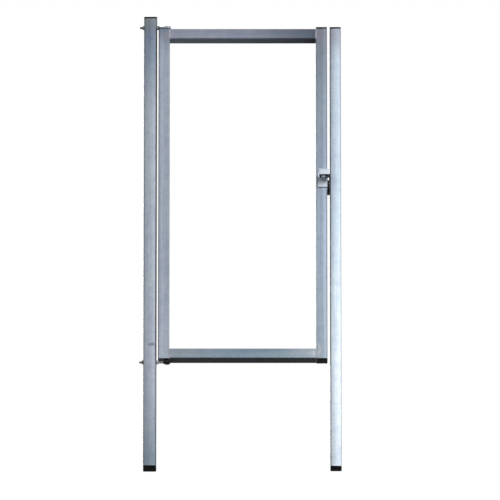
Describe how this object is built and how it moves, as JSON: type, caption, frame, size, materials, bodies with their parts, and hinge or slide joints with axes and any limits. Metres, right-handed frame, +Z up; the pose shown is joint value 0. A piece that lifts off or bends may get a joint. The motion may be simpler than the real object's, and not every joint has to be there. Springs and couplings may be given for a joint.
{
  "type": "wicket gate",
  "caption": "Pedestrian gate of square steel tube: an open welded leaf hung on eye-bolt hinges between two posts, with a knob-worked latch and a keep with a stop.",
  "frame": {"origin": "centre of the hinge post's flat foot face", "axes": "+X from the hinge post to the latch post along the gate, +Y from the gate's front, the side that the leaf opens to, to its back, +Z up"},
  "size_m": [1.074, 0.187, 2.722],
  "materials": {
    "hinge_post_zinc": "hot-dip galvanised, dull grey with soft vertical streaks",
    "latch_post_zinc": "hot-dip galvanised, bright and smooth",
    "stile_zinc": "hot-dip galvanised with streaks and duller weld ends",
    "rail_zinc": "hot-dip galvanised, mottled",
    "cap_plastic": "moulded black plastic",
    "keep_paint": "black paint, satin",
    "knob_metal": "satin natural metal",
    "lock_plate": "satin natural metal",
    "lock_inside": "plain steel",
    "fastener_zinc": "zinc plated, dulled"
  },
  "bodies": {
    "posts": {"hinge_post": "hinge_post_zinc", "hinge_post_cap": "cap_plastic", "hinge_post_foot": "cap_plastic", "latch_post": "latch_post_zinc", "latch_post_cap": "cap_plastic", "latch_post_foot": "cap_plastic", "lower_eye_bolt": "fastener_zinc", "upper_eye_bolt": "fastener_zinc", "lower_outer_washer": "fastener_zinc", "upper_outer_washer": "fastener_zinc", "lower_inner_washer": "fastener_zinc", "upper_inner_washer": "fastener_zinc", "lower_lock_nut": "fastener_zinc", "upper_lock_nut": "fastener_zinc", "lower_inner_nut": "fastener_zinc", "upper_inner_nut": "fastener_zinc", "latch_keep": "keep_paint", "lower_keep_screw": "fastener_zinc", "upper_keep_screw": "fastener_zinc"},
    "leaf": {"hinge_stile": "stile_zinc", "latch_stile": "stile_zinc", "top_rail": "rail_zinc", "bottom_rail": "rail_zinc", "lower_hinge_pin": "fastener_zinc", "upper_hinge_pin": "fastener_zinc", "hinge_stile_cap": "cap_plastic", "latch_stile_cap": "cap_plastic", "latch_stile_foot": "cap_plastic", "lock_case": "lock_inside", "lock_forend": "lock_plate", "front_face_plate": "lock_plate", "back_face_plate": "lock_plate"},
    "knobs": {"knob_spindle": "lock_inside", "front_knob": "knob_metal", "back_knob": "knob_metal"},
    "bolt": {"latch_bolt": "fastener_zinc"}
  },
  "joints": [
    {"name": "gate_swing", "type": "hinge", "parent": "posts", "child": "leaf", "pos_m": [0.091, -0.009, 1.6], "axis": [0, 0, -1], "range_deg": [0, 110]},
    {"name": "knob_turn", "type": "hinge", "parent": "leaf", "child": "knobs", "pos_m": [0.925, 0, 1.738], "axis": [0, 1, 0], "range_deg": [0, 90]},
    {"name": "bolt_throw", "type": "slide", "parent": "leaf", "child": "bolt", "axis": [1, 0, 0], "range_m": [0, 0.0095]}
  ],
  "couplings": [
    {"joint": "bolt_throw", "follows": "knob_turn", "m_per_rad": 0.00604}
  ]
}
